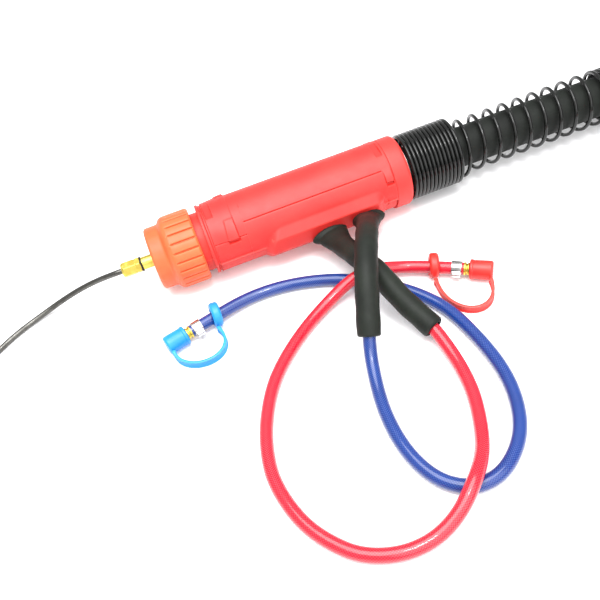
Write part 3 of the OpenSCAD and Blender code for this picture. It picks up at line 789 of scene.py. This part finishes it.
def hook_rise(x, side):
    """How far the cover's clip pads stand proud."""
    front = 0.3 * step(44, 60, x) + 1.5 * step(45, 62, x) * (1 - step(30, 62, side))
    front += 0.55 * window(54.4 + 0.045 * (side - 29), 70, 0.5, x) * (1 - step(58, 62, side))
    front *= 1 - step(61.9, 63.0, x)
    rear = 1.2 * window(176.0, 181.8, 0.4, x) * (1 - step(33, 52, side))
    return (front + rear) * step(28.0, 28.6, side)


def skin_radius(x, th):
    """The housing's outer surface, with what is moulded into it."""
    side = side_angle(th)
    r = HOUSING_R
    r -= 1.1 * window(42.0, COVER_X0, 0.25, x)
    for end in (HOUSING_X0, HOUSING_X1):
        d = abs(x - end)
        if d < 0.8:
            r -= (0.8 if end == HOUSING_X0 else 0.25) * (1 - math.sqrt(1 - ((0.8 - d) / 0.8) ** 2))
    if x > COVER_X0:
        r -= 1.3 * (1 - step(LEDGE_ANGLE - 1.2, LEDGE_ANGLE - 0.2, side))
        r += 0.85 * window(LEDGE_ANGLE - 0.6, LEDGE_ANGLE + 1.6, 0.7, side)
    if side > 15:
        r += hook_rise(x, side)
    if side > 60:
        for x0 in (44.6, 175.4):
            flat = (HOUSING_R - 1.6) / math.sin(math.radians(side))
            if flat < r:
                r -= (r - flat) * window(x0, x0 + 5.2, 0.3, x) * step(72.2, 73.4, side)
    for x0, x1 in ((54.6, 63.2), (176.0, 181.8)):
        r -= 1.9 * window(x0, x1, 0.3, x) * window(23.2, 27.6, 0.7, side)
    if FAIRING_X0 - 2 < x < FAIRING_X1 + 1:
        r = smooth_max(r, fairing_radius(x, (th + 180) % 360 - 180), 0.3)
    return r


def seam_height(x, gap):
    return SEAM_HIGH if BAND_FRONT + gap < x < BAND_REAR - gap else SEAM_LOW


def housing_stations(x0, x1, coarse=2.2):
    """Stations along X, closer together where the skin changes."""
    marks = (x0, x1, 42.0, 43.8, 44.6, 49.8, 54.6, 63.0, 83, 88, 165, 168, 170, 173, 175.4, 176.0, 181.2)
    around = (-1.1, -0.7, -0.4, -0.25, -0.1, 0.1, 0.25, 0.4, 0.7, 1.1)
    wanted = [x0 + i * (x1 - x0) / round((x1 - x0) / coarse) for i in range(round((x1 - x0) / coarse) + 1)]
    wanted += [m + d for m in marks for d in around] + [x0 + d for d in (0.05, 0.15)] + [x1 - 0.05, x1 - 0.15]
    wanted += [46 + i for i in range(18)] + [FAIRING_X0 - 1.5 + i * 0.8 for i in range(20)]
    wanted += [FAIRING_X1 - i * 0.8 for i in range(15)]
    half = SEAM_GAP / 2
    sides_of_gap = (-half - 0.02, -half + 0.02, half - 0.02, half + 0.02)
    jumps = [b + d for b in (BAND_FRONT, BAND_REAR) for d in sides_of_gap]
    out = [x0]
    for x in sorted(w for w in wanted if x0 < w < x1 and min(abs(w - jump) for jump in jumps) > 0.08):
        if x - out[-1] > 0.09:
            out.append(x)
    return sorted(out + [x1] + jumps)


def shell_loops(x0, x1, start, end, count, lip):
    """Closed loops round a shell that covers the angles from start(x) to end(x).

    A positive lip is a tongue that reaches past both edges on the inside; a negative one is the
    rebate it fits in."""
    edge = (0.0, 0.04, 0.14, 0.3, 0.5)
    inside = HOUSING_R - HOUSING_WALL
    loops = []
    for x in housing_stations(x0, x1):
        a, b = start(x), end(x)
        deg = math.degrees(1 / HOUSING_R)
        angles = [a + e * deg for e in edge] + [a + (b - a) * k / count for k in range(2, count - 1)]
        angles += [b - e * deg for e in reversed(edge)]
        outer, inner = [], []
        for th in angles:
            r = skin_radius(x, th)
            near = min(th - a, b - th) / deg
            if near < 0.5:
                r -= 0.5 - math.sqrt(0.25 - (0.5 - near) ** 2)
            c, s = math.cos(math.radians(th)), math.sin(math.radians(th))
            rebate = 1.1 if lip < 0 and near < 1.6 else 0.0
            outer.append((x, -r * c, r * s))
            inner.append((x, -(inside + rebate) * c, (inside + rebate) * s))
        if lip > 0:
            for th, rows in ((a - 1.2 * deg, 0), (b + 1.2 * deg, -1)):
                c, s = math.cos(math.radians(th)), math.sin(math.radians(th))
                tongue = [(x, -(inside + 0.95) * c, (inside + 0.95) * s), (x, -inside * c, inside * s)]
                root_a = a if rows == 0 else b
                c, s = math.cos(math.radians(root_a)), math.sin(math.radians(root_a))
                root = [(x, -(inside + 0.95) * c, (inside + 0.95) * s), (x, -inside * c, inside * s)]
                if rows == 0:
                    outer = [tongue[0], root[0]] + outer
                    inner = [tongue[1], root[1]] + inner
                else:
                    outer = outer + [root[0], tongue[0]]
                    inner = inner + [root[1], tongue[1]]
        loops.append(outer + inner[::-1])
    return loops


def shell_mesh(loops):
    """A skin through the loops, closed at both ends by strips between its outer and inner halves."""
    verts, faces = loops_mesh(loops, caps=False)
    n = len(loops[0])
    for base in (0, (len(loops) - 1) * n):
        for k in range(n // 2 - 1):
            faces.append((base + k, base + k + 1, base + n - 2 - k, base + n - 1 - k))
    return verts, faces


def seam_angle(x, gap):
    """The angle of the edge that lies gap above the parting line."""
    return math.degrees(math.asin((seam_height(x, gap) + gap) / HOUSING_R))


def housing():
    half = SEAM_GAP / 2
    cover = shell_mesh(shell_loops(
        COVER_X0 + half, HOUSING_X1 - half,
        lambda x: seam_angle(x, half), lambda x: 180 - seam_angle(x, half),
        100, -1))
    cover = piece("housing_cover_shell", *cover, HOUSING_RED, sharp=55, slot="housing_plastic")
    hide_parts("housing_cover")
    verts, faces = shell_mesh(shell_loops(
        COVER_X0 - 0.1, HOUSING_X1,
        lambda x: 180 - seam_angle(x, -half), lambda x: 360 + seam_angle(x, -half),
        190, 1))
    ring = rounded([
        (22.2, HOUSING_X0), (HOUSING_R, HOUSING_X0), (HOUSING_R, 42.0), (HOUSING_R - 1.1, 42.4),
        (HOUSING_R - 1.1, 43.9), (22.2, 43.9)], 0.5, 4)
    ring_verts, ring_faces = lathe_mesh(
        ring, 160,
        lambda r, x, a: r - 1.1 * (r > 25) * (1 - step(LEDGE_ANGLE - 6, LEDGE_ANGLE, side_angle(180 - a))))
    faces += [tuple(i + len(verts) for i in face) for face in ring_faces]
    tub = piece("housing_tub_shell", list(verts) + ring_verts, faces, HOUSING_RED,
                sharp=55, slot="housing_plastic")
    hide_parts("housing_tub")
    outline = rounded([
        (21, HOUSING_X1 + 0.15), (HOUSING_R - 0.1, HOUSING_X1 + 0.15), (HOUSING_R, HOUSING_X1 + 0.4),
        (HOUSING_R, COLLAR_X1 - 2.2), (HOUSING_R - 0.9, COLLAR_X1 - 0.6), (HOUSING_R - 2.2, COLLAR_X1),
        (21, COLLAR_X1)], 0.5)
    collar = lathe("rear_collar_ring", outline, HOUSING_RED, 0, 160, slot="housing_plastic")
    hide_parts("rear_collar")
    # The collar in the gap gets the lightened red: painted light where the gap is in shade.
    inner = lathe("plug_collar_ring", [
        (17.1, 27.5), (21.6, 27.5), (22, 28.4), (22, 46.3), (23.9, 46.3), (23.9, 51), (19.6, 51),
        (19.6, 46.3), (17.1, 46.3)], COLLAR_RED_PAINTED_LIGHT, 0.4, 128, slot="housing_plastic")
    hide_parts("plug_collar")


housing()


# ---- Support spring ----

WIRE_R = 1.45


def support_spring():
    """One wire: tight turns over the collar, open turns, then tight turns at the end."""
    per_turn = 36
    parts = [(13, 197.35, 237.7, 23.9), (10, 237.7, 363.4, 19.6), (8, 363.4, 390.6, 19.0)]
    line, turned = [], 0.0
    for k, (turns, x0, x1, r) in enumerate(parts):
        r_from = parts[max(k - 1, 0)][3]
        for i in range(turns * per_turn):
            u = i / per_turn
            radius = r_from + (r - r_from) * step(0, 0.7, u)
            x = x0 + (x1 - x0) * i / (turns * per_turn)
            a = math.radians(-360 * (turned + u))
            line.append(vec((x, radius * math.cos(a), radius * math.sin(a))))
        turned += turns
    verts, faces = tube_mesh(line, WIRE_R, 12)
    spring = piece("support_spring_wire", verts, faces, SPRING_BLACK, sharp=50, slot="spring_black")
    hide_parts("cable_spring")


support_spring()


# ---- Boots ----

BOOT_R = 7.9
# The rolled mouth: how far past the boot's end, and the radius there.
BOOT_MOUTH = [
    (0.5, 7.75), (1.2, 7.3), (1.65, 6.65), (1.7, 6.1), (1.4, 5.7), (0.7, 5.5), (-1.0, 5.4), (-5.0, 5.3)]


def boot(name, route, node, base_half):
    """A moulded boot: a lipped oval base that narrows to a sleeve with a rolled end."""
    line = even_line(smooth_route(route, 8), 1.2)
    total = length_of(line)
    frames = carried_frames(line)
    loops = []

    def ring(i, wide, tall, shift=0.0):
        _, side, up = frames[i]
        t = frames[i][0]
        loops.append([line[i] + t * shift + side * wide * math.cos(a) + up * tall * math.sin(a)
                      for a in (2 * math.pi * k / 40 for k in range(40))])
    for i in range(len(line)):
        run = total * i / (len(line) - 1)
        flare = max(0.0, 1 - run / 24) ** 1.8
        lip = 0.9 * window(-3, 2.2, 0.6, run) - 0.8 * window(2.8, 4.8, 0.7, run)
        wave = 0.15 * math.sin(run * 0.35) * step(12, 24, run)
        ring(i, BOOT_R + (base_half - BOOT_R) * flare + lip + wave, BOOT_R - 2.4 * flare + lip + wave)
    last = len(line) - 1
    for past, r in BOOT_MOUTH:
        ring(last, r, r, past)
    verts, faces = loops_mesh(loops)
    obj = piece(name, verts, faces, BOOT_RUBBER, sharp=60, slot="black_rubber")
    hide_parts(node)
    return obj


red_boot = boot("red_hose_boot", BOOT_RED_ROUTE, "boot_red", 14.0)
blue_boot = boot("blue_hose_boot", BOOT_BLUE_ROUTE, "boot_blue", 12.6)


# ---- Hose ends ----

STRAP_SECTION = [
    (0.55, -1.7), (0.55, 1.7), (1.0, 2.2), (1.0, 2.8), (0.6, 3.1), (-0.6, 3.1), (-1.0, 2.8), (-1.0, 2.2),
    (-0.55, 1.7), (-0.55, -1.7), (-1.0, -2.2), (-1.0, -2.8), (-0.6, -3.1), (0.6, -3.1), (1.0, -2.8),
    (1.0, -2.2)]


def hose_end(colour, end, heading, ear_side, tilt, strap_route, cap_look, body, ring_at):
    """Clamp, coupling, cap, and the strap that ties the cap to the hose."""
    at = Matrix.Translation(end) @ Matrix.Rotation(math.radians(heading), 4, "Z")
    slot = f"cap_{colour}"
    inner, outer = HOSE_R + 0.02, HOSE_R + 0.85
    band = rounded([(inner, -8.5), (outer, -8.5), (outer, -1.5), (inner, -1.5)], 0.25)
    verts, faces = lathe_mesh(band, 64)
    ear = rounded([(-2.4, 4.9), (-1.5, 5.9), (-2.0, 7.3), (-1.2, 8.0), (1.2, 8.0), (2.0, 7.3), (1.5, 5.9),
                   (2.4, 4.9)], 0.6, 4)
    loops = [[(x, ear_side * h * grow + (1 - grow) * ear_side * 6.4, w * grow) for w, h in ear]
             for x, grow in ((-8.0, 0.9), (-7.8, 0.98), (-7.4, 1.0), (-2.6, 1.0), (-2.2, 0.98), (-2.0, 0.9))]
    ear_verts, ear_faces = loops_mesh(loops)
    faces += [tuple(i + len(verts) for i in face) for face in ear_faces]
    clamp = piece(f"{colour}_ear_clamp", list(verts) + ear_verts, faces, STEEL,
                  place=at, sharp=40, slot="bright_steel")
    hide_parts(f"clamp_{colour}")
    coupling = lathe(f"{colour}_hose_coupling", [
        (1.6, 0.05), (4.6, 0.05), (4.6, 1.3), (3.7, 1.7), (3.7, 2.3), (4.5, 2.7), (4.5, 3.5), (3.9, 3.9),
        (3.9, 9), (3.2, 9.6), (3.2, 11.2), (3.9, 11.8), (3.9, 15), (3.2, 16.2), (1.6, 16.2)],
        BRASS, 0.2, 64, place=at, slot="brass")
    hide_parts(f"coupling_{colour}")
    cap = lathe(f"{colour}_dust_cap", [
        (5.0, 4.0), (6.6, 4.0), (7.0, 4.5), (7.0, 6.0), (6.6, 6.5), (6.8, 18.6), (6.0, 19.8), (0.2, 19.9),
        (0.2, 16.8), (5.0, 16.8)], cap_look, 0.5, 72, place=at, body=body, slot=slot)
    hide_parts(f"cap_{colour}")
    line = even_line(smooth_route(strap_route, 8), 1.2)
    frames = frames_along(line)
    total = len(line) - 1

    def section(i):
        grow = 1.0 if 0 < i < total else 0.75
        swell = 1 + 0.5 * (1 - step(0, 5, i)) + 0.35 * step(total - 5, total, i)
        return [(a * grow * swell, b * grow) for a, b in STRAP_SECTION]
    verts, faces = tube_mesh(line, 1.0, frames=frames, section=section)
    hoop = rounded([(5.0, -3.0), (7.6, -3.4), (8.9, -2.0), (8.9, 2.0), (7.6, 3.4), (5.0, 3.0)], 1.6, 6)
    hoop_verts, hoop_faces = lathe_mesh(hoop, 72)
    lean = Matrix.Translation(ring_at) @ Matrix.Rotation(math.radians(heading + tilt), 4, "Z")
    lean = lean @ Matrix.Rotation(math.radians(6 if tilt > 0 else -6), 4, "Y")
    faces += [tuple(i + len(verts) for i in face) for face in hoop_faces]
    verts = list(verts) + [tuple(lean @ vec(v)) for v in hoop_verts]
    strap = piece(f"{colour}_cap_strap", verts, faces, cap_look, body="root", sharp=50, slot=slot)
    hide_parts(f"strap_{colour}")
    return clamp, coupling, cap, strap


STRAP_RING_BACK = 21.0
STRAP_RING_HEIGHT = 9.0


def strap_ring_place(end, heading):
    """The ring's middle: on the hose behind its end, just clear of the table."""
    back = math.radians(heading)
    return vec((end.x - STRAP_RING_BACK * math.cos(back), end.y - STRAP_RING_BACK * math.sin(back),
                FLOOR_Z + STRAP_RING_HEIGHT))


red_end_pieces = hose_end("red", RED_END, RED_HEADING, -1, 12, STRAP_RED_ROUTE, CAP_RED, "red_cap",
                          strap_ring_place(RED_END, RED_HEADING))
blue_end_pieces = hose_end("blue", BLUE_END, BLUE_HEADING, 1, -12, STRAP_BLUE_ROUTE, CAP_BLUE, "blue_cap",
                           strap_ring_place(BLUE_END, BLUE_HEADING))
